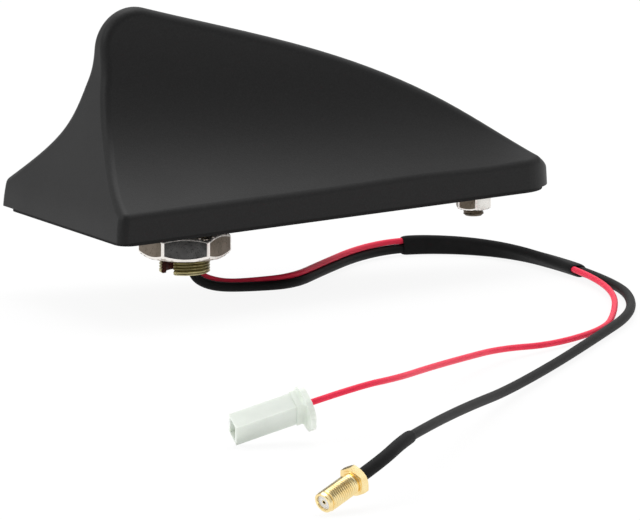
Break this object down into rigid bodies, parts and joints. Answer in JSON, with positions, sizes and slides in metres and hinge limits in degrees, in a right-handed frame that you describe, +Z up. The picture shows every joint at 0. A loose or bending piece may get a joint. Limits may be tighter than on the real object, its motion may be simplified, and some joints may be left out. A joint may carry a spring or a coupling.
{
  "type": "shark fin antenna",
  "caption": "Shark fin roof antenna: a flared hollow fin on a gasket, held by a hollow threaded post and a front stud, with a coaxial lead to a jack and a power wire to a housing.",
  "frame": {"origin": "on the mounting post's axis, at the plane of the roof, which is the underside of the gasket's rim", "axes": "+X towards the nose, +Y to the car's left, +Z up out of the roof"},
  "size_m": [0.2392, 0.3408, 0.0869],
  "materials": {
    "fin_plastic": "fine moulded grain",
    "base_plastic": "moulded",
    "gasket_rubber": "matte",
    "post_plated": "yellow passivated zinc",
    "nut_plated": "dull zinc",
    "screw_plated": "zinc",
    "board_green": "solder mask",
    "can_tin": "tinned",
    "radiator_copper": "bare",
    "cord_black": "satin vinyl",
    "cord_red": "satin vinyl",
    "sleeve_black": "satin shrink tube",
    "jack_gold": "gold plated",
    "insulator_white": "smooth",
    "housing_white": "milky, slightly clear"
  },
  "bodies": {
    "root": {"fin_shell": "fin_plastic", "base_plate": "base_plastic", "roof_gasket": "gasket_rubber", "mounting_post": "post_plated", "post_nut": "nut_plated", "front_stud": "post_plated", "front_nut": "nut_plated", "shell_screws": "screw_plated", "circuit_board": "board_green", "board_screws": "screw_plated", "shield_can": "can_tin", "radiator_plate": "radiator_copper", "loading_coil": "radiator_copper", "coax_lead": "cord_black", "power_lead": "cord_red", "coax_cable": "cord_black", "power_wire": "cord_red", "cable_sleeve": "sleeve_black", "jack_boot": "sleeve_black", "jack_body": "jack_gold", "jack_insulator": "insulator_white", "jack_contact": "jack_gold", "connector_housing": "housing_white", "connector_terminal": "can_tin"}
  },
  "joints": []
}
